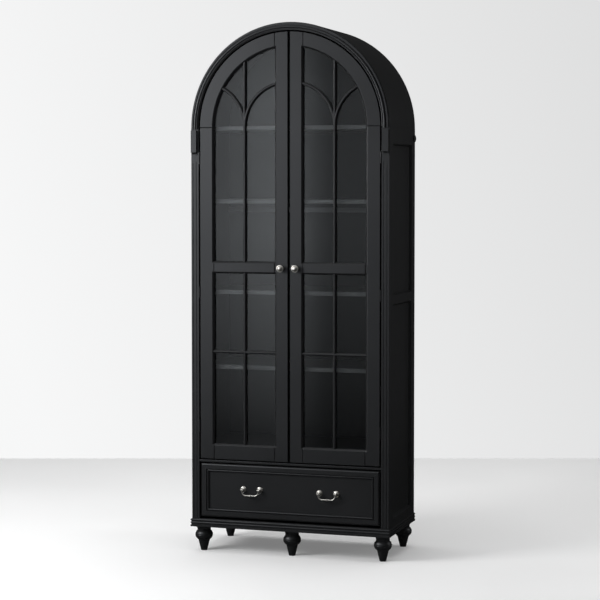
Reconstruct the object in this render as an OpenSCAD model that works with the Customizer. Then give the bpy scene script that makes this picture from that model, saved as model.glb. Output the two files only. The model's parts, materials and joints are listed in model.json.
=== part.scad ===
// Arched curio cabinet: two glazed doors under a half-round top, one drawer, turned feet.
// X runs across the front, -Y is the front, +Z is up. The floor is at Z = 0.

/* [Cabinet] */
// Width across the sides
body_w = 900; // [860:10:940]
// Depth from the front of the pilasters to the back edge
body_d = 440; // [420:10:480]
// Height of the spring line, where the arch begins
spring_z = 1873; // [1868:1:1920]
// Height of the feet
foot_h = 112; // [108:1:116]
// Thickness of the sides and of the bent top
side_t = 20; // [18:1:22]
// Thickness of the back panel
back_t = 6; // [4:1:8]
// Thickness of the shelves and of the cabinet floor
shelf_t = 18; // [16:1:20]

/* [Front frame] */
// Width of each pilaster
pilaster_w = 34; // [30:1:36]
// Thickness of the pilasters and of the rails between them
frame_t = 22; // [20:1:24]
// How far the capitals stand in front of the pilasters
capital_d = 12; // [9:1:13]
// How far the base moulding stands out
base_d = 6; // [5:0.5:8]

/* [Doors] */
// Gap between a door and the frame
door_gap = 7; // [6.5:0.5:8]
// Gap between the two doors
meeting_gap = 12; // [8:0.5:14]
// Thickness of the doors and of the drawer front
door_t = 22; // [20:1:24]
// Width of the outer stile and of the arched rail
stile_w = 64; // [60:0.5:70]
// Width of the meeting stile
meeting_w = 58.5; // [54:0.5:70]
// Height of the bottom rail
bottom_rail_h = 68; // [60:1:75]
// Height of the mid rail
mid_rail_h = 54; // [45:1:65]
// Height of the middle of the mid rail above the floor
mid_rail_z = 1262; // [1200:2:1320]
// Width of the glazing bars
muntin_w = 14; // [12:0.5:16]
// Radius of the curved glazing bars
muntin_arc_r = 192; // [180:2:210]
// Width of the bevel around each light
bevel = 8; // [6:0.5:9]

/* [Drawer] */
// Height of the drawer front's lower edge
drawer_z = 157.5; // [155:0.5:160]
// Height of the drawer front
drawer_h = 238; // [234:0.5:240]
// Length of the drawer box behind its front
drawer_len = 377; // [340:1:380]
// Width of the raised border on the drawer front
border_w = 36; // [34:1:40]

/* [Hardware] */
// Diameter of the door knobs
knob_dia = 32; // [26:1:36]
// Distance between the two posts of a pull
pull_centres = 76.2; // [64:0.1:96]
// Distance of each pull from the middle of the drawer
pull_x = 175; // [140:5:220]
// Diameter of the bail's bar
bail_dia = 6.4; // [5:0.2:7]

/* [Hidden] */
$fn = 96;

black = [0.09, 0.09, 0.1];
inner_black = [0.13, 0.13, 0.14];
pewter = [0.72, 0.7, 0.66];
steel = [0.6, 0.61, 0.63];
pane = [0.75, 0.8, 0.82, 0.35];

eps = 0.01;
far = 3000;
body_r = body_w / 2;
open_r = body_r - pilaster_w;
door_r = open_r - door_gap;
light_r = door_r - stile_w;
meet_x = meeting_gap / 2;
light_x = meet_x + meeting_w;
bar_x = (light_x + light_r) / 2;
inner_x = body_r - side_t;

// Planes along Y, before the model is centred
door_y = 1;
door_back_y = door_y + door_t;
shelf_y = 42;
back_y = body_d - back_t - 4;
knob_out = 30;
centre_y = (body_d + door_y - knob_out) / 2;

// Heights
rail_gap = 6;
base_gap = 10;
drawer_top_z = drawer_z + drawer_h;
divider_z = drawer_top_z + rail_gap;
divider_h = 9.5;
glue = 0.1;
door_z = divider_z + divider_h + rail_gap;
low_light_z0 = door_z + bottom_rail_h;
low_light_z1 = mid_rail_z - mid_rail_h / 2;
high_light_z = mid_rail_z + mid_rail_h / 2;
cross_bar_z = 891;
floor_z = 477;
base_rail_top_z = drawer_z - base_gap;
capital_z0 = spring_z - 109;
capital_z1 = spring_z - 13;
moulding_z0 = spring_z - 7;
shelf_tops = [spring_z + 6, 1559, 1161, 830];
knob_x = 34;
knob_z = mid_rail_z - 2;

// Depths behind the door's face
bar_front = 3;
glass_front = 16;
glass_t = 3;
rebate = 7;
glass_slack = 0.5;
groove_side = 3;

// Hinges: slim butt hinges in the gap, with their axis level with the pilaster's face
hinge_x = door_r + door_gap / 2;
hinge_zs = [560, 1150, 1740];
hinge_h = 50;
hinge_leaf_t = 1.2;
hinge_leaf_d = 19;
leaf_x = door_gap / 2 - hinge_leaf_t;
knuckle_r = leaf_x + 0.5;
knuckle_room = 0.3;
pin_r = 1.5;
pin_fit = 0.05;

// Pulls
pull_z = 286;
panel_y = door_y + 10;
post_y = -10;
bail_drop = 24;
bail_turn = 18;

module about_centre() translate([0, -centre_y, 0]) children();

// Sets a shape drawn in X and Z, standing on the plane y and growing towards the front.
module upright(y) translate([0, y, 0]) rotate([90, 0, 0]) children();

// Half ring about the arch's centre line, between the planes y0 and y1.
module arch_ring(r0, r1, y0, y1) {
    translate([0, y1, spring_z]) rotate([90, 0, 0])
        rotate_extrude(angle = 180) translate([r0, 0]) square([r1 - r0, y1 - y0]);
}

module block(x, y, z) translate([x[0], y[0], z[0]]) cube([x[1] - x[0], y[1] - y[0], z[1] - z[0]]);

module left_hand() mirror([1, 0, 0]) children();

module both_sides() {
    children();
    mirror([1, 0, 0]) children();
}

// ---- Sides ----

side_stile_front = 50;
side_stile_rear = 63;
rear_capital_w = 34;
rear_capital_h = 30;
side_rail_top = 82;
side_rail_bottom = 80;
side_rail_mid_z = spring_z - 745;
side_rail_mid_h = 54;
side_y0 = frame_t;
side_panel_y = [side_y0 + side_stile_front, body_d - side_stile_rear];
side_panel_t = 8;
side_lights = [
    [foot_h + side_rail_bottom, side_rail_mid_z - side_rail_mid_h / 2],
    [side_rail_mid_z + side_rail_mid_h / 2, spring_z - side_rail_top]
];
pin_hole_ys = [side_y0 + 35, body_d - 40];
shelf_pin_r = 2.5;
shelf_pin_in = 8;

// Outline of a slot whose two edges lean out by g over the depth d
function leaning(a0, a1, d, g, over = 1) = [
    [a0, -d], [a1, -d],
    [a1 + g * (1 + over / d), over], [a0 - g * (1 + over / d), over]
];

// Bevelled window through a frame that lies in XY with its face at Z = 0
module bevelled_window(x, y, d, g) {
    intersection() {
        rotate([90, 0, 0]) linear_extrude(2 * far, center = true) polygon(leaning(x[0], x[1], d, g));
        rotate([90, 0, 90]) linear_extrude(2 * far, center = true) polygon(leaning(y[0], y[1], d, g));
    }
}

module side_windows() {
    for (z = side_lights)
        translate([body_r, 0, 0]) rotate([90, 0, 90])
            bevelled_window(side_panel_y, z, side_t - side_panel_t, bevel);
}

module shelf_pin_places() {
    for (z = shelf_tops, y = pin_hole_ys)
        translate([inner_x, y, z - shelf_t - shelf_pin_r]) rotate([0, 90, 0]) children();
}

module side_frame() {
    color(black) difference() {
        union() {
            block([inner_x, body_r], [side_y0, side_panel_y[0]], [foot_h, spring_z]);
            block([inner_x, body_r], [side_panel_y[1], body_d], [foot_h, spring_z]);
        }
        side_windows();
        shelf_pin_places() cylinder(r = shelf_pin_r, h = shelf_pin_in);
    }
    rails = [
        [foot_h, side_lights[0][0]],
        [side_lights[0][1], side_lights[1][0]],
        [side_lights[1][1], spring_z]
    ];
    color(black) difference() {
        for (z = rails) block([inner_x, body_r], [side_panel_y[0] + glue, side_panel_y[1] - glue], z);
        side_windows();
    }
}

module side_panels() {
    color(black) for (z = side_lights) block([inner_x, inner_x + side_panel_t], side_panel_y, z);
}

// Small block with a rounded face at the top of a side's rear stile
module rear_capital() {
    h = rear_capital_h;
    z0 = spring_z - 59;
    color(black) intersection() {
        block([body_r, body_r + base_d], [body_d - rear_capital_w, body_d], [z0, z0 + h]);
        translate([body_r + base_d - h, 0, z0 + h / 2]) rotate([-90, 0, 0]) cylinder(r = h, h = body_d);
    }
}

// ---- Arch ----

module arch_top() color(black) arch_ring(inner_x, body_r, frame_t, body_d);

module arch_frame() color(black) arch_ring(open_r, body_r, 0, frame_t);

// Section of the arch moulding: narrow land, bead, quirk and outer fillet
module arch_section() {
    inner = body_r - 30;
    outer = body_r - 3;
    land_w = 3;
    land_d = 8;
    quirk_d = 4;
    bead_r = 6;
    bead_x = body_r - 20;
    fillet_w = 7.5;
    edge = 1.5;
    translate([inner, 0]) square([outer - inner, quirk_d]);
    polygon([
        [inner, 0], [inner, land_d - 1], [inner + 1, land_d],
        [inner + land_w, land_d], [inner + land_w, 0]
    ]);
    translate([bead_x, capital_d - bead_r - 1]) circle(r = bead_r);
    polygon([
        [outer - fillet_w, 0], [outer - fillet_w, land_d], [outer - edge, land_d],
        [outer, land_d - edge], [outer, 0]
    ]);
}

module arch_moulding() {
    color(black) intersection() {
        union() {
            translate([0, 0, spring_z]) rotate([90, 0, 0]) rotate_extrude(angle = 180) arch_section();
            for (m = [0, 1]) mirror([m, 0, 0])
                translate([0, 0, moulding_z0]) linear_extrude(spring_z - moulding_z0)
                    mirror([0, 1]) arch_section();
        }
        block([-far, far], [-far, 0], [0, far]);
    }
}

module back_panel() {
    r = inner_x - 0.2;
    color(inner_black) upright(back_y + back_t) linear_extrude(back_t) union() {
        translate([0, spring_z]) circle(r = r);
        translate([-r, foot_h]) square([2 * r, spring_z - foot_h]);
    }
}

// ---- Front frame ----

module pilaster() {
    flute_ins = [9, 24];
    flute_r = 2;
    flute_top = capital_z0 - 42;
    color(black) difference() {
        block([open_r, body_r], [0, frame_t], [foot_h, spring_z]);
        for (x = flute_ins) translate([body_r - x, 0, 0]) {
            translate([0, 0, base_rail_top_z]) cylinder(r = flute_r, h = flute_top - base_rail_top_z);
            translate([0, 0, flute_top]) sphere(r = flute_r);
        }
    }
}

// Block with a cove and a thin fillet beneath it
module capital() {
    fillet_d = 2;
    fillet_h = 4;
    cove = capital_d - fillet_d;
    neck_z = capital_z0 - cove - fillet_h;
    x = [body_r - 27, body_r - 2];
    color(black) union() {
        block(x, [-capital_d, 0], [capital_z0, capital_z1]);
        block(x, [-fillet_d, 0], [neck_z, capital_z0]);
        translate([x[0], 0, 0]) rotate([90, 0, 90]) linear_extrude(x[1] - x[0]) difference() {
            translate([-capital_d, capital_z0 - cove]) square([capital_d, cove + eps]);
            translate([-capital_d, capital_z0 - cove]) circle(r = cove);
        }
    }
}

module divider_rail() {
    depth = 60;
    color(black) block([-open_r, open_r], [0, depth], [divider_z, divider_z + divider_h]);
}

module base_rail() color(black) block([-open_r, open_r], [0, frame_t], [foot_h, base_rail_top_z]);

// Section of the base moulding: [out from the face, height above its foot]
module base_section() {
    bead_r = 4.5;
    bead_heights = [18, 30];
    fillet_h = 7.5;
    square([base_d - 3, base_rail_top_z - foot_h - 3]);
    square([base_d, fillet_h]);
    for (h = bead_heights) translate([base_d - bead_r, h]) circle(r = bead_r);
}

module base_strip(len) {
    rotate([90, 0, 90]) linear_extrude(len) intersection() {
        base_section();
        square([far, far]);
    }
}

module front_base_moulding() {
    reach = body_r + base_d;
    color(black) intersection() {
        translate([reach, 0, foot_h]) rotate([0, 0, 180]) base_strip(2 * reach);
        linear_extrude(far) polygon([
            [-reach, -base_d], [reach, -base_d],
            [body_r, 0], [-body_r, 0]
        ]);
    }
}

module side_base_moulding() {
    color(black) intersection() {
        translate([body_r, body_d, foot_h]) rotate([0, 0, -90]) base_strip(body_d + base_d);
        linear_extrude(far) polygon([
            [body_r, 0], [body_r + base_d, -base_d],
            [body_r + base_d, body_d], [body_r, body_d]
        ]);
    }
}

// ---- Inside ----

module cabinet_floor() {
    color(inner_black) {
        block([-inner_x, inner_x], [door_back_y + 1, back_y], [floor_z - shelf_t, floor_z]);
        block(
            [-inner_x, inner_x], [door_back_y + 1, shelf_y],
            [divider_z + divider_h, floor_z - shelf_t - glue]
        );
    }
}

module cabinet_bottom() {
    color(inner_black) block([-inner_x, inner_x], [frame_t, back_y], [foot_h, foot_h + shelf_t]);
}

// Magnetic catches on the floor's front edge, one behind each door
module door_catches() {
    x0 = 14;
    w = 30;
    h = 9;
    color(steel) both_sides() block([x0, x0 + w], [door_back_y + 1, shelf_y], [floor_z, floor_z + h]);
}

module shelf(i) {
    slack = 1;
    color(inner_black) block(
        [slack - inner_x, inner_x - slack], [shelf_y, back_y],
        [shelf_tops[i] - shelf_t, shelf_tops[i]]
    );
}

// Stiffening rail across the back, a little below the upper shelf
module shelf_rail() {
    z1 = shelf_tops[1] - shelf_t - 20;
    t = 15;
    h = 23;
    color(inner_black) block([-inner_x, inner_x], [back_y - t, back_y], [z1 - h, z1]);
}

module shelf_pins() {
    color(steel) both_sides() shelf_pin_places()
        translate([0, 0, -shelf_pin_in]) cylinder(r = shelf_pin_r, h = 2 * shelf_pin_in);
}

// ---- Feet ----

foot_x = body_r - 38;
foot_front_y = 48;
foot_rear_y = body_d - 48;

// Points along an arc about c from the angle a0 to the angle a1
function arc(c, r, a0, a1, n) = [
    for (i = [0:n]) let (a = a0 + (a1 - a0) * i / n) c + r * [cos(a), sin(a)]
];

// Half section of a turned foot: cup, waist, ball with a mid groove, tapered leg and toe
foot_section_h = 112;
foot_ball = [15.2, 70];
foot_ball_r = 24;
foot_section = concat(
    [[0, foot_section_h], [33.5, foot_section_h], [33.5, 105]],
    arc([40, 97], 10, 140, 180, 4),
    arc(foot_ball, foot_ball_r, 52, 6, 8),
    [[foot_ball[0] + foot_ball_r - 1.6, foot_ball[1]]],
    arc(foot_ball, foot_ball_r, -6, -64, 9),
    [[24.6, 46.5], [15.4, 6], [14.6, 4.5], [14.2, 0], [0, 0]]
);

module foot(x, y) {
    color(black) translate([x, y, 0]) scale(foot_h / foot_section_h) rotate_extrude() polygon(foot_section);
}

// ---- Doors, drawn as the right-hand door ----

// Shape drawn in X and Z on the door's face, growing towards the front
module on_door() upright(door_y) children();

module high_light_outline(m) {
    intersection() {
        translate([light_x - m, high_light_z - m]) square([far, far]);
        union() {
            translate([0, spring_z]) circle(r = light_r + m);
            translate([0, high_light_z - m]) square([light_r + m, spring_z - high_light_z + m]);
        }
    }
}

module low_light_outline(m) {
    translate([light_x - m, low_light_z0 - m])
        square([light_r - light_x + 2 * m, low_light_z1 - low_light_z0 + 2 * m]);
}

// The bevelled part of the upper light, with its face at Z = 0
module high_bevel() {
    over = 1;
    top_r = light_r + bevel * (1 + over / bevel);
    intersection() {
        bevelled_window([light_x, far], [high_light_z, far], bevel, bevel);
        union() {
            translate([0, spring_z, -bevel]) cylinder(r1 = light_r, r2 = top_r, h = bevel + over);
            translate([0, spring_z, 0]) rotate([90, 0, 0]) linear_extrude(spring_z)
                polygon([[0, -bevel], [light_r, -bevel], [top_r, over], [0, over]]);
        }
    }
}

module low_bevel() bevelled_window([light_x, light_r], [low_light_z0, low_light_z1], bevel, bevel);

module lights_cut() {
    high_bevel();
    low_bevel();
    translate([0, 0, -door_t - 1]) linear_extrude(door_t + 1 - bevel + eps) {
        high_light_outline(0);
        low_light_outline(0);
    }
    translate([0, 0, -door_t - 1]) linear_extrude(door_t + 1 - glass_front) {
        high_light_outline(rebate);
        low_light_outline(rebate);
    }
}

// V-shaped groove in the door's face, from the point a along X or Z
module joint_groove(a, len, along_x) {
    translate([a[0], a[1], 0]) rotate(along_x ? [90, 0, 90] : [-90, 0, 0])
        rotate([0, 0, 45]) translate([-groove_side / 2, -groove_side / 2, -1])
            cube([groove_side, groove_side, len + 2]);
}

// Grooves along the lines where the door's parts meet
module joint_grooves() {
    rail_len = door_r - light_r;
    joint_groove([light_x, door_z], bottom_rail_h, false);
    joint_groove([light_r, door_z], bottom_rail_h, false);
    joint_groove([light_x, low_light_z1], mid_rail_h, false);
    joint_groove([light_r, low_light_z1], mid_rail_h, false);
    joint_groove([light_x, spring_z + light_r - bevel], rail_len + bevel, false);
    joint_groove([light_r, spring_z], rail_len, true);
}

module door_part() {
    color(black) on_door() difference() {
        translate([0, 0, -door_t]) linear_extrude(door_t) children();
        lights_cut();
        joint_grooves();
    }
}

module outer_stile() {
    door_part() translate([light_r, door_z]) square([door_r - light_r, spring_z - door_z]);
}

module meeting_stile() {
    door_part() intersection() {
        translate([meet_x, door_z]) square([light_x - meet_x, far]);
        union() {
            translate([0, spring_z]) circle(r = door_r);
            translate([0, door_z]) square([door_r, spring_z - door_z]);
        }
    }
}

module arch_rail() {
    door_part() difference() {
        intersection() {
            translate([0, spring_z]) circle(r = door_r);
            translate([light_x, spring_z]) square([far, far]);
        }
        translate([0, spring_z]) circle(r = light_r);
    }
}

module mid_rail() {
    door_part() translate([light_x, low_light_z1]) square([light_r - light_x, mid_rail_h]);
}

module bottom_rail() {
    door_part() translate([light_x, door_z]) square([light_r - light_x, bottom_rail_h]);
}

module bar_section() {
    w = muntin_w / 2;
    nose = 2;
    slope = 5;
    polygon([
        [-w, -glass_front], [w, -glass_front], [w, -bar_front - slope],
        [nose, -bar_front], [-nose, -bar_front], [-w, -bar_front - slope]
    ]);
}

module upright_bar(z0, z1) {
    translate([bar_x, z1, 0]) rotate([90, 0, 0]) linear_extrude(z1 - z0) bar_section();
}

module cross_bar(z) {
    translate([light_x - bevel, z, 0]) rotate([90, 0, 90])
        linear_extrude(light_r - light_x + 2 * bevel) bar_section();
}

module curved_bar(towards) {
    translate([bar_x + towards * muntin_arc_r, spring_z, 0])
        rotate([0, 0, towards > 0 ? 90 : 0]) rotate_extrude(angle = 90)
            translate([muntin_arc_r, 0]) bar_section();
}

module muntins() {
    color(black) on_door() {
        intersection() {
            union() {
                upright_bar(high_light_z - bevel, spring_z + light_r);
                curved_bar(-1);
                curved_bar(1);
            }
            union() {
                high_bevel();
                translate([0, 0, -door_t]) linear_extrude(door_t - bevel + eps) high_light_outline(0);
            }
        }
        intersection() {
            union() {
                upright_bar(low_light_z0 - bevel, low_light_z1 + bevel);
                cross_bar(cross_bar_z);
            }
            union() {
                low_bevel();
                translate([0, 0, -door_t]) linear_extrude(door_t - bevel + eps) low_light_outline(0);
            }
        }
    }
}

module glass() {
    color(pane) on_door() translate([0, 0, -glass_front - glass_t]) linear_extrude(glass_t) {
        high_light_outline(rebate - glass_slack);
        low_light_outline(rebate - glass_slack);
    }
}

module knob() {
    r = knob_dia / 2;
    rim = 19;
    rim_h = 2.5;
    dome_r = 24;
    color(pewter) translate([knob_x, door_y, knob_z]) rotate([90, 0, 0]) rotate_extrude() {
        square([10, 2.5]);
        square([7, 5]);
        square([5, rim]);
        polygon([[0, 12], [5, 12], [r - 5, rim - 2], [r - 1, rim], [0, rim]]);
        translate([0, rim]) square([r, rim_h]);
        intersection() {
            translate([0, knob_out - dome_r]) circle(r = dome_r);
            translate([0, rim + rim_h]) square([r - 1.5, knob_out]);
        }
    }
}

// ---- Hinges ----

third = hinge_h / 3;

module each_hinge() for (z = hinge_zs) translate([hinge_x, 0, z - hinge_h / 2]) children();

// Plates on the two faces of the gap: the door's leaf towards the middle, the cabinet's outside
module leaf_plate(cabinet_side) {
    x = cabinet_side ? leaf_x : -leaf_x - hinge_leaf_t;
    translate([x, 0, 0]) cube([hinge_leaf_t, hinge_leaf_d, hinge_h]);
}

module door_hinge_leaves() {
    color(steel) each_hinge() difference() {
        union() {
            leaf_plate(false);
            translate([0, 0, third + knuckle_room]) cylinder(r = knuckle_r, h = third - 2 * knuckle_room);
        }
        for (z = [-eps, 2 * third]) translate([0, 0, z])
            cylinder(r = knuckle_r + knuckle_room, h = third + eps);
        cylinder(r = pin_r + pin_fit, h = hinge_h);
    }
}

module cabinet_hinge_leaves() {
    color(steel) both_sides() each_hinge() union() {
        difference() {
            leaf_plate(true);
            translate([0, 0, third]) cylinder(r = knuckle_r + knuckle_room, h = third);
        }
        for (z = [0, 2 * third]) translate([0, 0, z]) cylinder(r = knuckle_r, h = third);
        cylinder(r = pin_r, h = hinge_h);
    }
}

// ---- Drawer ----

drawer_back_y = door_back_y + drawer_len;
box_x = open_r - 14;
box_t = 12;
box_z = [drawer_z + 13, drawer_top_z - 57];
drawer_bottom_t = 6;
drawer_bottom_up = 8;
slide_z = 260;
slide_h = 14;
slide_t = 11;
slide_room = 1;

module drawer_front() {
    color(black) block([-door_r, door_r], [panel_y, door_back_y], [drawer_z, drawer_top_z]);
}

// Section of the border: [in from the outer edge, height above the panel]
module border_section() {
    depth = panel_y - door_y;
    round_r = 9;
    flat_x = [7.5, 25];
    quirk_d = 3;
    bead_r = 4.2;
    bead_x = border_w - bead_r + glue;
    translate([round_r - glue, depth - glue - round_r]) circle(r = round_r);
    translate([flat_x[0], 0]) square([flat_x[1] - flat_x[0], depth]);
    square([bead_x, quirk_d]);
    translate([bead_x, bead_r - 0.3]) circle(r = bead_r);
}

// Top, bottom, right or left strip of the border, mitred at both ends
module border_strip(k) {
    long = k < 2 ? door_r : drawer_h / 2;
    out = k < 2 ? drawer_h / 2 : door_r;
    w = border_w;
    turn = [0, 180, -90, 90][k];
    translate([0, (drawer_z + drawer_top_z) / 2, 0]) rotate([0, 0, turn]) intersection() {
        linear_extrude(panel_y) polygon([
            [glue - long, out], [long - glue, out],
            [long - w - glue, out - w], [w + glue - long, out - w]
        ]);
        translate([-long, out, 0]) rotate([90, 0, 90]) linear_extrude(2 * long)
            mirror([1, 0]) border_section();
    }
}

module drawer_border() color(black) upright(panel_y) for (k = [0:3]) border_strip(k);

module drawer_box() {
    y = [door_back_y, drawer_back_y];
    color(inner_black) {
        both_sides() block([box_x - box_t, box_x], y, box_z);
        for (y0 = [y[0], y[1] - box_t])
            block([box_t - box_x + glue, box_x - box_t - glue], [y0, y0 + box_t], box_z);
    }
}

module drawer_bottom() {
    color(inner_black) block(
        [box_t - box_x, box_x - box_t], [door_back_y + box_t, drawer_back_y - box_t],
        [box_z[0] + drawer_bottom_up, box_z[0] + drawer_bottom_up + drawer_bottom_t]
    );
}

// Fixed channels on the cabinet's sides
module drawer_runners() {
    half_h = slide_h / 2 + slide_room;
    wall = 7;
    color(steel) both_sides() difference() {
        block(
            [box_x + 4, inner_x], [frame_t + 8, back_y - 10],
            [slide_z - half_h - wall, slide_z + half_h + wall]
        );
        block([box_x, box_x + slide_t + slide_room], [0, body_d], [slide_z - half_h, slide_z + half_h]);
    }
}

// Rails on the drawer's sides, which run in the channels
module drawer_slides() {
    color(steel) both_sides() block(
        [box_x, box_x + slide_t], [door_back_y + box_t, drawer_back_y - 4],
        [slide_z - slide_h / 2, slide_z + slide_h / 2]
    );
}

// ---- Pulls ----

eye_half = bail_dia / 2 + 0.5;
ear_gap = eye_half + 0.4;
ear_t = 2.2;
stem_r = 4;

module each_post() {
    for (side = [-1, 1], end = [-1, 1])
        translate([side * pull_x + end * pull_centres / 2, 0, pull_z]) children();
}

module pull_posts() {
    fork_y = post_y + 7;
    head_back_y = fork_y + 2.5;
    head_front_y = post_y - 4;
    dome_r = 12;
    color(pewter) each_post() union() {
        upright(panel_y) rotate_extrude() {
            square([14, 2]);
            square([dome_r, 3.5]);
            intersection() {
                translate([0, -dome_r / 2]) circle(r = dome_r);
                square([9, dome_r]);
            }
        }
        translate([0, panel_y, 0]) rotate([90, 0, 0]) cylinder(r = stem_r, h = panel_y - fork_y);
        difference() {
            translate([0, head_back_y, 0]) rotate([90, 0, 0])
                cylinder(r = ear_gap + ear_t, h = head_back_y - head_front_y);
            block([-ear_gap, ear_gap], [head_front_y - 2, fork_y], [-10, 10]);
        }
        translate([-ear_gap - ear_t + 0.5, post_y, 0]) rotate([0, 90, 0])
            cylinder(r = pin_r, h = 2 * (ear_gap + ear_t) - 1);
    }
}

// One eye, its leg and the bend below it
module bail_end() {
    r = bail_dia / 2;
    x = pull_centres / 2;
    drop = bail_drop - bail_turn;
    translate([x - eye_half, 0, 0]) rotate([0, 90, 0]) cylinder(r = r + 0.8, h = 2 * eye_half);
    translate([x, 0, -drop]) cylinder(r = r, h = drop);
    translate([x - bail_turn, 0, -drop]) rotate([90, 0, 0]) rotate([0, 0, -90])
        rotate_extrude(angle = 90) translate([bail_turn, 0]) circle(r = r);
}

module bail(side) {
    bar_half = pull_centres / 2 - bail_turn;
    knuckle_w = 5;
    color(pewter) translate([side * pull_x, post_y, pull_z]) difference() {
        union() {
            for (turn = [0, 180]) rotate([0, 0, turn]) bail_end();
            translate([-bar_half, 0, -bail_drop]) rotate([0, 90, 0])
                cylinder(r = bail_dia / 2, h = 2 * bar_half);
            translate([-knuckle_w / 2, 0, -bail_drop]) rotate([0, 90, 0])
                cylinder(r = bail_dia / 2 + 1.4, h = knuckle_w);
        }
        translate([-pull_centres, 0, 0]) rotate([0, 90, 0])
            cylinder(r = pin_r + pin_fit, h = 2 * pull_centres);
    }
}

// ---- The cabinet ----

about_centre() left_hand() side_frame();  // left_side_frame
about_centre() side_frame();  // right_side_frame
about_centre() left_hand() side_panels();  // left_side_panels
about_centre() side_panels();  // right_side_panels
about_centre() arch_top();
about_centre() arch_frame();
about_centre() arch_moulding();
about_centre() back_panel();
about_centre() left_hand() pilaster();  // left_pilaster
about_centre() pilaster();  // right_pilaster
about_centre() left_hand() capital();  // left_capital
about_centre() capital();  // right_capital
about_centre() both_sides() rear_capital();  // rear_capitals
about_centre() divider_rail();
about_centre() base_rail();
about_centre() front_base_moulding();
about_centre() both_sides() side_base_moulding();  // side_base_mouldings
about_centre() cabinet_floor();
about_centre() cabinet_bottom();
about_centre() door_catches();
about_centre() drawer_runners();
about_centre() cabinet_hinge_leaves();
about_centre() foot(-foot_x, foot_front_y);  // front_left_foot
about_centre() foot(0, foot_front_y);  // front_middle_foot
about_centre() foot(foot_x, foot_front_y);  // front_right_foot
about_centre() foot(-foot_x, foot_rear_y);  // rear_left_foot
about_centre() foot(foot_x, foot_rear_y);  // rear_right_foot
about_centre() shelf(0);  // top_shelf
about_centre() shelf(1);  // upper_shelf
about_centre() shelf(2);  // middle_shelf
about_centre() shelf(3);  // lower_shelf
about_centre() shelf_rail();
about_centre() shelf_pins();
about_centre() left_hand() outer_stile();  // left_outer_stile
about_centre() left_hand() meeting_stile();  // left_meeting_stile
about_centre() left_hand() arch_rail();  // left_arch_rail
about_centre() left_hand() mid_rail();  // left_mid_rail
about_centre() left_hand() bottom_rail();  // left_bottom_rail
about_centre() left_hand() muntins();  // left_muntins
about_centre() left_hand() glass();  // left_glass
about_centre() left_hand() door_hinge_leaves();  // left_hinge_leaves
about_centre() left_hand() knob();  // left_knob
about_centre() outer_stile();  // right_outer_stile
about_centre() meeting_stile();  // right_meeting_stile
about_centre() arch_rail();  // right_arch_rail
about_centre() mid_rail();  // right_mid_rail
about_centre() bottom_rail();  // right_bottom_rail
about_centre() muntins();  // right_muntins
about_centre() glass();  // right_glass
about_centre() door_hinge_leaves();  // right_hinge_leaves
about_centre() knob();  // right_knob
about_centre() drawer_border();
about_centre() drawer_front();
about_centre() drawer_box();
about_centre() drawer_bottom();
about_centre() drawer_slides();
about_centre() pull_posts();
about_centre() bail(-1);  // left_bail
about_centre() bail(1);  // right_bail
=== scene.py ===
import json
import math

import bpy
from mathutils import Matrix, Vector


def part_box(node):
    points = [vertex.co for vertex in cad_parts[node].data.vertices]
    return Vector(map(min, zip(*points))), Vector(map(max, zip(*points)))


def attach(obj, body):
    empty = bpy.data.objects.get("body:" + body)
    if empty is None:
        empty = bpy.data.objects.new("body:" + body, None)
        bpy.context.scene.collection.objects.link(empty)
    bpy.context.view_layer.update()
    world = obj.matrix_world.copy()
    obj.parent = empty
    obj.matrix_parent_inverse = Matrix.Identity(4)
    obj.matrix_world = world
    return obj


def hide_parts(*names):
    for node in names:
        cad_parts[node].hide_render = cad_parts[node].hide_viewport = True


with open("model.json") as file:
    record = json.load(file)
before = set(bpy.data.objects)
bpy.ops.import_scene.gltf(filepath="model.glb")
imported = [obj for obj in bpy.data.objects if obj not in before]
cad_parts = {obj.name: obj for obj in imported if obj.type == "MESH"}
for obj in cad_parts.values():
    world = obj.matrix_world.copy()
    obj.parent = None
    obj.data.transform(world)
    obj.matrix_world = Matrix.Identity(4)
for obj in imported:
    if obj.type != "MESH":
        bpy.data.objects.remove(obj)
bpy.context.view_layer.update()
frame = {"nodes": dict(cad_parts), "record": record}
nodes = frame["nodes"]
scene = bpy.context.scene
scene.view_settings.view_transform = "Standard"

# ---- Camera ----

CAM_AT = Vector((2.4742, -7.7454, 1.6142))
CAM_YAW = math.radians(17.79)
CAM_DOWN = math.radians(2.69)

cam_data = bpy.data.cameras.new("camera")
cam_data.sensor_width = 36.0
cam_data.lens = 110.09
cam_data.shift_x = -0.0012
cam_data.shift_y = -0.045
cam_data.clip_end = 100.0
cam = bpy.data.objects.new("camera", cam_data)
cam.location = CAM_AT
cam.rotation_euler = (math.pi / 2 - CAM_DOWN, 0.0, CAM_YAW)
scene.collection.objects.link(cam)
scene.camera = cam

# ---- Node helpers ----


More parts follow.
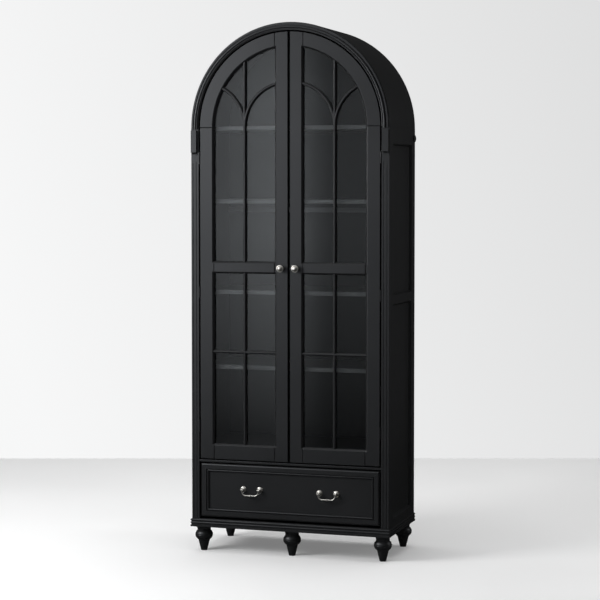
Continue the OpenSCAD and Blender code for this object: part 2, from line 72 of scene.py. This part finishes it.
class Mat:
    """A node material, with short calls for the nodes that the paints and metals share."""

    def __init__(self, name):
        self.m = bpy.data.materials.new(name)
        self.m.use_nodes = True
        self.t = self.m.node_tree
        self.bsdf = self.t.nodes["Principled BSDF"]

    def add(self, kind, **sets):
        n = self.t.nodes.new("ShaderNode" + kind)
        for k, v in sets.items():
            setattr(n, k, v)
        return n

    def link(self, a, b):
        self.t.links.new(a, b)

    def put(self, name, value):
        self.bsdf.inputs[name].default_value = value

    def place(self, scale=(1.0, 1.0, 1.0)):
        c = self.add("TexCoord")
        mp = self.add("Mapping")
        mp.inputs["Scale"].default_value = scale
        self.link(c.outputs["Object"], mp.inputs["Vector"])
        return mp.outputs["Vector"]

    def noise(self, where, scale, detail=4.0, rough=0.5):
        n = self.add("TexNoise")
        n.inputs["Scale"].default_value = scale
        n.inputs["Detail"].default_value = detail
        n.inputs["Roughness"].default_value = rough
        self.link(where, n.inputs["Vector"])
        return n.outputs["Fac"]

    def span(self, value, a, b, c, d, kind="LINEAR"):
        n = self.add("MapRange", interpolation_type=kind)
        for k, v in zip(("From Min", "From Max", "To Min", "To Max"), (a, b, c, d)):
            n.inputs[k].default_value = v
        self.link(value, n.inputs["Value"])
        return n.outputs["Result"]

    def maths(self, op, a, b):
        n = self.add("Math", operation=op)
        for i, v in enumerate((a, b)):
            if isinstance(v, (int, float)):
                n.inputs[i].default_value = v
            else:
                self.link(v, n.inputs[i])
        return n.outputs[0]

    def mix(self, fac, a, b):
        n = self.add("Mix", data_type="RGBA")
        self.link(fac, n.inputs["Factor"])
        for k, v in ((6, a), (7, b)):
            if isinstance(v, tuple):
                n.inputs[k].default_value = (*v, 1.0)
            else:
                self.link(v, n.inputs[k])
        return n.outputs[2]

    def bump(self, height, strength, distance):
        n = self.add("Bump")
        n.inputs["Strength"].default_value = strength
        n.inputs["Distance"].default_value = distance
        self.link(height, n.inputs["Height"])
        self.link(n.outputs["Normal"], self.bsdf.inputs["Normal"])

    def edges(self, radius, lo, hi):
        """1 along an edge that is sharper than the given radius, 0 on flat faces."""
        bevel = self.add("Bevel", samples=4)
        bevel.inputs["Radius"].default_value = radius
        geo = self.add("NewGeometry")
        dot = self.add("VectorMath", operation="DOT_PRODUCT")
        self.link(bevel.outputs["Normal"], dot.inputs[0])
        self.link(geo.outputs["Normal"], dot.inputs[1])
        return self.span(dot.outputs["Value"], hi, lo, 0.0, 1.0)


# The paint mirrors light with a slightly cool cast
COOL = (0.93, 0.955, 1.0, 1.0)


def paint(name, colour, edge_highlight, rough, grain, shine=0.5):
    """Satin paint over wood: faint grain along the given axis, uneven gloss, glossier edges and a painted
    highlight that lightens the colour in patches along the edges.
    """
    m = Mat(name)
    stretch = {"x": (0.06, 1.0, 1.0), "y": (1.0, 0.06, 1.0), "z": (1.0, 1.0, 0.06)}[grain]
    along = m.place(stretch)
    flat = m.place()
    fibre = m.noise(along, 260.0, 5.0, 0.6)
    cloud = m.noise(flat, 3.5, 3.0, 0.5)
    orange = m.noise(flat, 420.0, 2.0, 0.5)
    edge = m.edges(0.0012, 0.93, 0.999)
    patchy = m.span(m.noise(flat, 38.0, 4.0, 0.6), 0.42, 0.66, 0.0, 0.55)
    # Painted highlight: a patchy mask along the edges, where the colour is lightened
    highlight_mask = m.maths("MULTIPLY", edge, patchy)
    dim = tuple(c * 0.9 for c in colour)
    bright = tuple(c * 1.12 for c in colour)
    base = m.mix(m.span(cloud, 0.3, 0.7, 0.0, 1.0), dim, bright)
    base = m.mix(m.span(fibre, 0.35, 0.75, 0.0, 0.35), base, tuple(c * 0.7 for c in colour))
    # Painted highlight: the edges are lightened towards the lighter edge colour
    base = m.mix(highlight_mask, base, edge_highlight)
    m.link(base, m.bsdf.inputs["Base Color"])
    uneven = m.span(cloud, 0.3, 0.7, rough - 0.03, rough + 0.03)
    r = m.maths("ADD", uneven, m.span(fibre, 0.3, 0.8, 0.0, 0.05))
    m.link(m.maths("SUBTRACT", r, m.maths("MULTIPLY", edge, 0.06)), m.bsdf.inputs["Roughness"])
    height = m.maths("ADD", m.maths("MULTIPLY", fibre, 0.7), m.maths("MULTIPLY", orange, 0.3))
    m.bump(height, 0.25, 0.00025)
    m.put("Specular IOR Level", shine)
    m.put("Specular Tint", COOL)
    m.put("Coat Weight", 0.24 * shine)
    m.put("Coat Roughness", 0.3)
    return m.m


def metal(name, colour, dark, rough, scale=500.0):
    """Antique metal: dark in the hollows and rubbed bright on the edges."""
    m = Mat(name)
    at = m.place()
    tone = m.noise(at, 60.0, 4.0, 0.6)
    fine = m.noise(at, scale, 3.0, 0.6)
    edge = m.edges(0.0008, 0.85, 0.995)
    base = m.mix(m.span(tone, 0.35, 0.7, 0.0, 0.6), colour, dark)
    base = m.mix(m.maths("MULTIPLY", edge, 0.8), base, tuple(min(1.0, c * 1.15) for c in colour))
    m.link(base, m.bsdf.inputs["Base Color"])
    m.link(m.span(tone, 0.3, 0.75, rough - 0.05, rough + 0.12), m.bsdf.inputs["Roughness"])
    m.bump(fine, 0.12, 0.0001)
    m.put("Metallic", 1.0)
    return m.m


def clear_glass(name):
    m = Mat(name)
    m.put("Base Color", (0.96, 0.985, 0.98, 1.0))
    m.put("Roughness", 0.0)
    m.put("IOR", 1.5)
    m.put("Transmission Weight", 1.0)
    return m.m


BLACK = (0.0085, 0.0087, 0.0091)
# The lighter colour of the painted edge highlight, for the paint of the outside, the inside and the shelves
EDGE_HIGHLIGHT = (0.05, 0.049, 0.047)
black = {a: paint(f"black_lacquer_{a}", BLACK, EDGE_HIGHLIGHT, 0.40, a) for a in "xyz"}
INNER = (0.013, 0.0129, 0.0129)
SHELVES = ("top_shelf", "upper_shelf", "middle_shelf", "lower_shelf", "shelf_rail")
# Painted light: the shelves are painted lighter than the rest of the inside, in place of the key light that
# the glass keeps from them
SHELF_LIT = (0.075, 0.0747, 0.0745)
shelf_lit_paint = paint("shelf_lacquer_painted_light", SHELF_LIT, EDGE_HIGHLIGHT, 0.36, "x", 0.8)
inner = {a: paint(f"inner_lacquer_{a}", INNER, EDGE_HIGHLIGHT, 0.52, a, 0.15) for a in "xyz"}
pewter = metal("antique_nickel", (0.87, 0.85, 0.80), (0.50, 0.48, 0.44), 0.34)
steel = metal("blackened_steel", (0.045, 0.045, 0.047), (0.02, 0.02, 0.021), 0.38)
glass = clear_glass("window_glass")

ALONG_X = ("rail", "front_base_moulding", "drawer_front", "drawer_border", "shelf", "arch_top",
           "floor", "bottom", "arch_frame", "arch_moulding")
ALONG_Y = ("side_base", "drawer_box")


def grain_of(name):
    if any(w in name for w in ALONG_Y):
        return "y"
    if any(w in name for w in ALONG_X):
        return "x"
    return "z"


# Metres: the eased edges of the door joints and of everything else, and the weld before the easing
JOINT_EASE = 0.0017
EDGE_EASE = 0.0011
WELD_WITHIN = 0.00002
EASE_ANGLE = math.radians(32)
DOOR_WOOD = ("outer_stile", "meeting_stile", "arch_rail", "mid_rail", "bottom_rail")
slot_of = {s["node"]: s["material_slot"] for s in frame["record"]["subparts"]}
for name, o in nodes.items():
    kind = slot_of[name]
    a = grain_of(name)
    # The shelves take the lighter paint that carries their painted light
    inside = shelf_lit_paint if name.startswith(SHELVES) else inner[a]
    o.material_slots[0].material = {
        "black_paint": black[a], "inner_paint": inside, "pewter": pewter, "steel": steel, "glass": glass,
    }[kind]
    if kind in ("black_paint", "inner_paint"):
        w = o.modifiers.new("weld", "WELD")
        w.merge_threshold = WELD_WITHIN
        b = o.modifiers.new("ease", "BEVEL")
        b.width = JOINT_EASE if name.split("_", 1)[-1] in DOOR_WOOD else EDGE_EASE
        b.segments = 2
        b.limit_method = "ANGLE"
        b.angle_limit = EASE_ANGLE
        b.harden_normals = False
        n = o.modifiers.new("normals", "WEIGHTED_NORMAL")
        n.keep_sharp = True

# ---- Turned and cast pieces ----

TURNS = 96


def mesh_piece(name, verts, faces, material, sharp=35.0):
    me = bpy.data.meshes.new(name)
    me.from_pydata([tuple(v) for v in verts], [], faces)
    me.validate()
    me.shade_smooth()
    me.set_sharp_from_angle(angle=math.radians(sharp))
    me.materials.append(material)
    o = bpy.data.objects.new(name, me)
    scene.collection.objects.link(o)
    return o


def arc(c, r, a0, a1, n):
    """Points on an arc about c, from angle a0 to a1 in degrees."""
    steps = [math.radians(a0 + (a1 - a0) * i / n) for i in range(n + 1)]
    return [(c[0] + r * math.cos(a), c[1] + r * math.sin(a)) for a in steps]


def turned(profile, at, out, n=TURNS):
    """Vertices and faces of a profile of (radius, height) spun about the direction out."""
    out = Vector(out)
    u = out.orthogonal().normalized()
    v = out.cross(u)
    verts, rings, faces = [], [], []
    for r, h in profile:
        mid = Vector(at) + out * h
        if r < 1e-6:
            rings.append([len(verts)] * n)
            verts.append(mid)
        else:
            rings.append(list(range(len(verts), len(verts) + n)))
            turns = (2 * math.pi * i / n for i in range(n))
            verts += [mid + (u * math.cos(t) + v * math.sin(t)) * r for t in turns]
    for a, b in zip(rings, rings[1:]):
        for i in range(n):
            j = (i + 1) % n
            f = [a[i], a[j], b[j], b[i]]
            f = [q for k, q in enumerate(f) if q not in f[:k]]
            if len(f) > 2:
                faces.append(tuple(f))
    return verts, faces


def tube(path, radii, n=28):
    """Vertices and faces of a round bar along a path in the XZ plane, with closed ends."""
    verts, faces = [], []
    for i, (p, r) in enumerate(zip(path, radii)):
        along = (path[min(i + 1, len(path) - 1)] - path[max(i - 1, 0)]).normalized()
        side = Vector((0.0, 1.0, 0.0))
        up = along.cross(side)
        verts += [p + (side * math.cos(t) + up * math.sin(t)) * r
                  for t in (2 * math.pi * k / n for k in range(n))]
    for i in range(len(path) - 1):
        for k in range(n):
            j = (k + 1) % n
            faces.append((i * n + k, i * n + j, (i + 1) * n + j, (i + 1) * n + k))
    faces.append(tuple(reversed(range(n))))
    faces.append(tuple(range((len(path) - 1) * n, len(path) * n)))
    return verts, faces


def joined(*shapes):
    verts, faces = [], []
    for v, f in shapes:
        k = len(verts)
        verts += v
        faces += [tuple(i + k for i in face) for face in f]
    return verts, faces


def middle(name):
    lo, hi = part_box(name)
    return (lo + hi) / 2, lo, hi


# Feet: cup, waist, ball with a mid groove, tapered leg and toe
BALL = (0.0152, 0.070)
FOOT = (
    [(0.0, 0.112), (0.0335, 0.112), (0.0335, 0.106), (0.0331, 0.1045)]
    + arc((0.040, 0.097), 0.010, 138, 180, 10)
    + arc(BALL, 0.024, 52, 4, 16)
    + [(0.0379, 0.0710), (0.0375, 0.070), (0.0379, 0.0690)]
    + arc(BALL, 0.024, -4, -62, 18)
    + [(0.0258, 0.0470), (0.0246, 0.0440), (0.0205, 0.026), (0.0168, 0.0120), (0.0156, 0.0070)]
    + [(0.0150, 0.0050), (0.0146, 0.0015), (0.0138, 0.0), (0.0, 0.0)]
)
for name in [n for n in nodes if n.endswith("_foot")]:
    mid = middle(name)[0]
    v, f = turned(FOOT, (mid.x, mid.y, 0.0), (0, 0, 1))
    foot = mesh_piece(name + "_turned", v, [tuple(reversed(q)) for q in f], black["z"])
    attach(foot, "cabinet")
    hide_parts(name)

# Knobs: stepped base, waist, mushroom head with a raised rim and a low dome
KNOB = (
    [(0.0, 0.0), (0.0100, 0.0), (0.0100, 0.0016), (0.0093, 0.0024), (0.0074, 0.0028), (0.0070, 0.0046)]
    + [(0.0056, 0.0062), (0.0050, 0.0090), (0.0054, 0.0122), (0.0078, 0.0152), (0.0118, 0.0176)]
    + [(0.0148, 0.0188), (0.0158, 0.0197), (0.0160, 0.0207), (0.0157, 0.0217), (0.0149, 0.0223)]
    + [(0.0137, 0.0224), (0.0132, 0.0221), (0.0128, 0.0226), (0.0112, 0.0248), (0.0090, 0.0270)]
    + [(0.0064, 0.0287), (0.0034, 0.0297), (0.0, 0.0300)]
)
for side in ("left", "right"):
    mid, _, hi = middle(side + "_knob")
    knob = mesh_piece(side + "_knob_turned", *turned(KNOB, (mid.x, hi.y, mid.z), (0, -1, 0)), pewter)
    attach(knob, side + "_door")
    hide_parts(side + "_knob")

# Pulls: domed rosettes, forked posts and cast bails
POST_GAP = 0.0762
BAIL_R = 0.0032
BAIL_DROP = 0.024
BAIL_TURN = 0.018
EYE_HALF = 0.0037
EYE_R = 0.0040
EYE_EASE = 0.0006
PIN_R = 0.0014
PIN_PLAY = 0.00015
# Two lugs on a plate carry each pin
LUG_OFF = 0.0014
LUG_HALF = 0.0009
LUG_R = 0.0052
LUG_Z = 0.0048
PLATE_X = 0.0060
PLATE_OUT = 0.0132
ROSETTE = (
    [(0.0, 0.0), (0.0140, 0.0), (0.0140, 0.0012), (0.0137, 0.0020), (0.0130, 0.0025), (0.0125, 0.0024)]
    + [(0.0122, 0.0028), (0.0112, 0.0036), (0.0095, 0.0043), (0.0075, 0.0047), (0.0056, 0.0049)]
    + [(0.0050, 0.0053), (0.0045, 0.0066), (0.0042, 0.0130), (0.0046, 0.0140), (0.0, 0.0142)]
)


def ear(x, y, z, half):
    """A flat rounded lug that holds one end of the pin, with its flat faces across X."""
    edge = half - 0.0004
    flat_r = LUG_R - 0.0005
    profile = [(0.0, -half), (flat_r, -half), (LUG_R, -edge), (LUG_R, edge), (flat_r, half), (0.0, half)]
    return turned(profile, (x, y, z), (1, 0, 0), 40)


def bar(x0, x1, y0, y1, z0, z1):
    verts = [Vector((x, y, z)) for x in (x0, x1) for y in (y0, y1) for z in (z0, z1)]
    return verts, [(0, 1, 3, 2), (4, 6, 7, 5), (0, 4, 5, 1), (2, 3, 7, 6), (0, 2, 6, 4), (1, 5, 7, 3)]


joint_of = {j["name"]: Vector(j["pos_m"]) for j in frame["record"]["behaviour"]["joints"] if "pos_m" in j}
posts_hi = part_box("pull_posts")[1]
post_shapes = []
for side in ("left", "right"):
    pivot = joint_of[side + "_bail_swing"]
    for end in (-1, 1):
        x = pivot.x + end * POST_GAP / 2
        post_shapes.append(turned(ROSETTE, (x, posts_hi.y, pivot.z), (0, -1, 0), 64))
        back = posts_hi.y - PLATE_OUT
        low_z = pivot.z - LUG_Z
        high_z = pivot.z + LUG_Z
        for lug in (-1, 1):
            at = x + lug * (EYE_HALF + LUG_OFF)
            post_shapes.append(ear(at, pivot.y, pivot.z, LUG_HALF))
            post_shapes.append(bar(at - LUG_HALF, at + LUG_HALF, pivot.y, back + 0.0016, low_z, high_z))
        post_shapes.append(bar(x - PLATE_X, x + PLATE_X, back - 0.0002, back + 0.0022, low_z, high_z))
        pin = [(0.0, -0.0066), (0.0019, -0.0066), (0.0021, -0.0061), (0.0021, -0.0057), (PIN_R, -0.0056)]
        pin += [(r, -h) for r, h in reversed(pin)]
        post_shapes.append(turned(pin, (x, pivot.y, pivot.z), (1, 0, 0), 28))
posts = mesh_piece("pull_rosettes_and_posts", *joined(*post_shapes), pewter)
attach(posts, "drawer")
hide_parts("pull_posts")

for side in ("left", "right"):
    pivot = joint_of[side + "_bail_swing"]
    half = POST_GAP / 2
    bend = [(half - BAIL_TURN + p[0], p[1]) for p in arc((0.0, BAIL_TURN - BAIL_DROP), BAIL_TURN, 0, -90, 20)]
    right_side = [(half, -0.0020), (half, -0.0045)] + bend[:-1]
    flat = [(half - BAIL_TURN) * k / 10 for k in range(10, -11, -1)]
    line = right_side + [(x, -BAIL_DROP) for x in flat] + [(-x, z) for x, z in reversed(right_side)]
    path = [pivot + Vector((x, 0.0, z)) for x, z in line]
    radii = [BAIL_R * (0.80 + 0.20 * min(1.0, abs(half - abs(x)) / 0.016)) for x, z in line]
    eyes = []
    for end in (-1, 1):
        hole = PIN_R + PIN_PLAY
        flat_r = EYE_R - EYE_EASE
        ring = [(hole, -EYE_HALF), (flat_r, -EYE_HALF), (EYE_R, -EYE_HALF + EYE_EASE)]
        ring += [(EYE_R, EYE_HALF - EYE_EASE), (flat_r, EYE_HALF), (hole, EYE_HALF), (hole, -EYE_HALF)]
        eyes.append(turned(ring, pivot + Vector((end * half, 0.0, 0.0)), (1, 0, 0), 36))
    low = pivot + Vector((0.0, 0.0, -BAIL_DROP))
    bead = [(BAIL_R - 0.0003, -0.0048), (0.0038, -0.0044), (0.0040, -0.0038), (0.0035, -0.0031)]
    bead += [(0.0037, -0.0026), (0.0045, -0.0019), (0.0048, -0.0009), (0.0048, 0.0)]
    bead += [(r, -h) for r, h in reversed(bead[:-1])]
    knuckle = turned(bead, low, (1, 0, 0), 36)
    bail = mesh_piece(side + "_bail_cast", *joined(tube(path, radii), *eyes, knuckle), pewter)
    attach(bail, side + "_bail")
    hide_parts(side + "_bail")

# ---- Stage ----


def stage_material(name, colour, rough, glow):
    m = Mat(name)
    at = m.place()
    cloud = m.noise(at, 1.3, 5.0, 0.55)
    base = m.mix(m.span(cloud, 0.35, 0.65, 0.0, 1.0), colour, tuple(c * 0.965 for c in colour))
    # Unseen in reflections, so that the glass and the paint stay dark low down
    mirrored = m.maths("GREATER_THAN", m.add("LightPath").outputs["Glossy Depth"], 0.5)
    base = m.mix(mirrored, base, (0.0, 0.0, 0.0))
    m.link(base, m.bsdf.inputs["Base Color"])
    m.put("Roughness", rough)
    m.put("Specular IOR Level", 0.0)
    m.link(base, m.bsdf.inputs["Emission Color"])
    m.put("Emission Strength", glow)
    return m.m


def quad(name, corners, material):
    me = bpy.data.meshes.new(name)
    me.from_pydata([tuple(c) for c in corners], [], [(0, 1, 2, 3)])
    me.materials.append(material)
    o = bpy.data.objects.new(name, me)
    scene.collection.objects.link(o)
    return o


VIEW = Vector((-math.sin(CAM_YAW), math.cos(CAM_YAW), 0.0))
SIDE = Vector((VIEW.y, -VIEW.x, 0.0))
FLOOR_END = 10.85
base_at = Vector((CAM_AT.x, CAM_AT.y, 0.0))
far_edge = base_at + VIEW * FLOOR_END
near_edge = base_at - VIEW * 6.0
floor_paint = stage_material("pale_floor", (0.86, 0.86, 0.86), 0.6, 0.2)
across_floor = SIDE * 14
floor = quad("studio_floor", [
    near_edge - across_floor, near_edge + across_floor, far_edge + across_floor, far_edge - across_floor,
], floor_paint)

# A tall softbox in front, to the left: brightest high up and fading towards the right and the floor
CARD_Y = -2.6
CARD_POWER = 1.1
CARD_COLOUR = (0.95, 0.99, 1.04, 1.0)
# Each fade: where it starts and ends in metres, then its strength at both
LEFT_FADE = (-1.35, -0.85, 0.58, 1.0)
RIGHT_FADE = (-0.90, -0.52, 1.0, 0.27)
LOW_FADE = (0.2, 1.35, 0.17, 1.0)
HIGH_FADE = (2.1, 2.9, 1.0, 0.3)
CARD_X = (-2.9, 0.1)
CARD_Z = (0.0, 3.4)
glow = Mat("softbox_fade")
where = glow.add("TexCoord").outputs["Object"]
parts = glow.add("SeparateXYZ")
glow.link(where, parts.inputs[0])
left_part = glow.span(parts.outputs["X"], *LEFT_FADE, "SMOOTHSTEP")
right_part = glow.span(parts.outputs["X"], *RIGHT_FADE, "SMOOTHSTEP")
across = glow.maths("MULTIPLY", left_part, right_part)
rise = glow.span(parts.outputs["Z"], *LOW_FADE)
fall = glow.span(parts.outputs["Z"], *HIGH_FADE)
emit = glow.add("Emission")
emit.inputs["Color"].default_value = CARD_COLOUR
fade = glow.maths("MULTIPLY", glow.maths("MULTIPLY", across, rise), fall)
glow.link(glow.maths("MULTIPLY", fade, CARD_POWER), emit.inputs["Strength"])
glow.link(emit.outputs[0], glow.t.nodes["Material Output"].inputs["Surface"])
card = quad("softbox_card", [
    (CARD_X[0], CARD_Y, CARD_Z[0]), (CARD_X[0], CARD_Y, CARD_Z[1]),
    (CARD_X[1], CARD_Y, CARD_Z[1]), (CARD_X[1], CARD_Y, CARD_Z[0]),
], glow.m)
card.visible_camera = False
card.visible_shadow = False

# ---- Light ----

world = bpy.data.worlds.new("studio")
scene.world = world
world.use_nodes = True
wt = world.node_tree
wt.nodes.clear()


def wnode(kind, **sets):
    n = wt.nodes.new("ShaderNode" + kind)
    for k, v in sets.items():
        setattr(n, k, v)
    return n


SKY_FROM = Vector((-0.72, -0.62, 0.32)).normalized()
# Where along each ramp a grey level stands: the light of the room, and the wall from left to right
SKY_STOPS = ((0.35, 0.02), (1.0, 0.3))
WALL_STOPS = ((0.0, 0.93), (1.0, 0.74))
WALL_REACH = 0.18
coord = wnode("TexCoord")
dot = wnode("VectorMath", operation="DOT_PRODUCT")
dot.inputs[1].default_value = SKY_FROM
wt.links.new(coord.outputs["Generated"], dot.inputs[0])
sky = wnode("ValToRGB")
for e, (at, v) in zip(sky.color_ramp.elements, SKY_STOPS):
    e.position = at
    e.color = (v, v, v, 1.0)
wt.links.new(dot.outputs["Value"], sky.inputs["Fac"])
seen = wnode("LightPath")
lit = wnode("Background")
wt.links.new(sky.outputs["Color"], lit.inputs["Color"])
lit.inputs["Strength"].default_value = 1.0
wall = wnode("Background")
across_wall = wnode("VectorMath", operation="DOT_PRODUCT")
across_wall.inputs[1].default_value = SIDE + Vector((0.0, 0.0, 0.3))
wt.links.new(coord.outputs["Generated"], across_wall.inputs[0])
to_ramp = wnode("MapRange")
to_ramp.inputs["From Min"].default_value = -WALL_REACH
to_ramp.inputs["From Max"].default_value = WALL_REACH
wt.links.new(across_wall.outputs["Value"], to_ramp.inputs["Value"])
shade = wnode("ValToRGB")
for e, (at, v) in zip(shade.color_ramp.elements, WALL_STOPS):
    e.position = at
    e.color = (v, v * 1.003, v * 1.005, 1.0)
wt.links.new(to_ramp.outputs["Result"], shade.inputs["Fac"])
wt.links.new(shade.outputs["Color"], wall.inputs["Color"])
# The wall is seen straight on or through clear glass, but not by rays that have met a surface
bounces = wnode("Math", operation="ADD")
wt.links.new(seen.outputs["Diffuse Depth"], bounces.inputs[0])
wt.links.new(seen.outputs["Glossy Depth"], bounces.inputs[1])
direct = wnode("Math", operation="LESS_THAN")
direct.inputs[1].default_value = 0.5
wt.links.new(bounces.outputs[0], direct.inputs[0])
pick = wnode("MixShader")
out = wnode("OutputWorld")
wt.links.new(direct.outputs[0], pick.inputs[0])
wt.links.new(lit.outputs[0], pick.inputs[1])
wt.links.new(wall.outputs[0], pick.inputs[2])
wt.links.new(pick.outputs[0], out.inputs["Surface"])


def softbox(name, at, aim, size, power):
    d = bpy.data.lights.new(name, "AREA")
    d.shape = "RECTANGLE"
    d.size, d.size_y = size
    d.energy = power
    o = bpy.data.objects.new(name, d)
    o.location = at
    o.rotation_euler = (Vector(aim) - Vector(at)).to_track_quat("-Z", "Y").to_euler()
    scene.collection.objects.link(o)
    return o


# These lights don't pass the glass, so that the inside stays dim and free of noise
for light in (
    softbox("key", (-2.5, -2.4, 2.3), (0.0, 0.0, 1.5), (1.5, 1.6), 93.0),
    softbox("top", (0.3, -0.8, 5.5), (0.0, 0.3, 0.0), (5.0, 5.0), 45.0),
    softbox("side_fill", (3.6, 1.2, 1.9), (0.4, 0.1, 1.3), (1.2, 2.4), 16.0),
):
    light.visible_transmission = False

# A wide overhead light that falls on the floor alone
lit_floor = bpy.data.collections.new("lit_floor")
lit_floor.objects.link(floor)
floor_light = softbox("floor_light", (-0.2, 0.9, 5.5), (-0.4, 0.7, 0.0), (5.0, 5.0), 145.0)
floor_light.light_linking.receiver_collection = lit_floor
